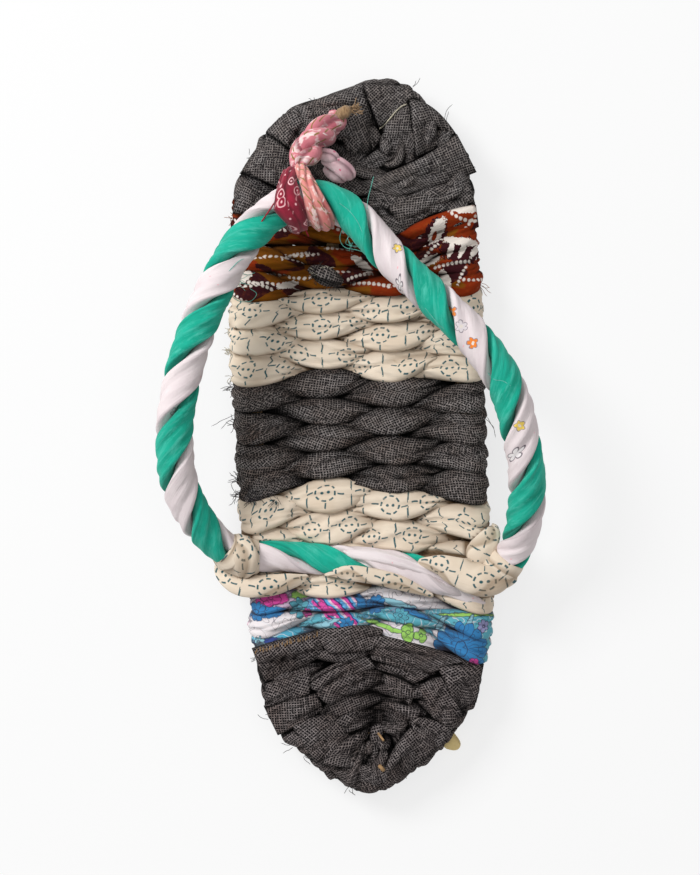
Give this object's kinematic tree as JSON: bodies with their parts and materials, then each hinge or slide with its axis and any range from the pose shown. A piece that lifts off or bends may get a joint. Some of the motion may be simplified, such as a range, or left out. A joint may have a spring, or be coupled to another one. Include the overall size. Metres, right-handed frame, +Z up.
{
  "type": "rag-woven zori thong sandal",
  "caption": "Flat thong sandal of cloth strips woven over rope, with a twisted two-ply cloth strap, a cloth toe tie and bands of plain and printed rag.",
  "frame": {"origin": "on the floor under the centre of the sandal's box", "axes": "+Y to the toe, +X to the right seen from above with the toe away, +Z up"},
  "size_m": [0.1296, 0.244, 0.0454],
  "materials": {
    "toe_grey_cloth": "mid grey cotton with a fine light crosshatch",
    "grey_cloth": "dark grey cotton with a fine light crosshatch",
    "batik_cloth": "rust and golden brown batik with white dots",
    "cream_cloth": "cream cotton with a teal dashed print",
    "floral_cloth": "white cotton with a turquoise, blue, pink and lime flower print",
    "green_cloth": "plain sea green cotton",
    "white_cloth": "white cotton with small scattered dots",
    "pink_cloth": "pink printed cotton",
    "crimson_cloth": "crimson printed cotton",
    "salmon_cloth": "salmon printed cotton",
    "mauve_cloth": "faded mauve cotton",
    "tan_rope": "tan plant fibre rope"
  },
  "bodies": {
    "root": {"toe_grey": "toe_grey_cloth", "batik_band": "batik_cloth", "cream_front_band": "cream_cloth", "grey_waist_band": "grey_cloth", "cream_rear_band": "cream_cloth", "floral_band": "floral_cloth", "heel_grey": "grey_cloth", "warp_outer": "tan_rope", "warp_inner": "tan_rope", "strap_green_ply": "green_cloth", "strap_white_ply": "white_cloth", "strap_wrap_left": "cream_cloth", "strap_wrap_right": "cream_cloth", "toe_tie_twist": "pink_cloth", "toe_tie_crimson_leg": "crimson_cloth", "toe_tie_salmon_leg": "salmon_cloth", "toe_tie_tail": "mauve_cloth", "toe_tie_cord": "tan_rope"}
  },
  "joints": []
}
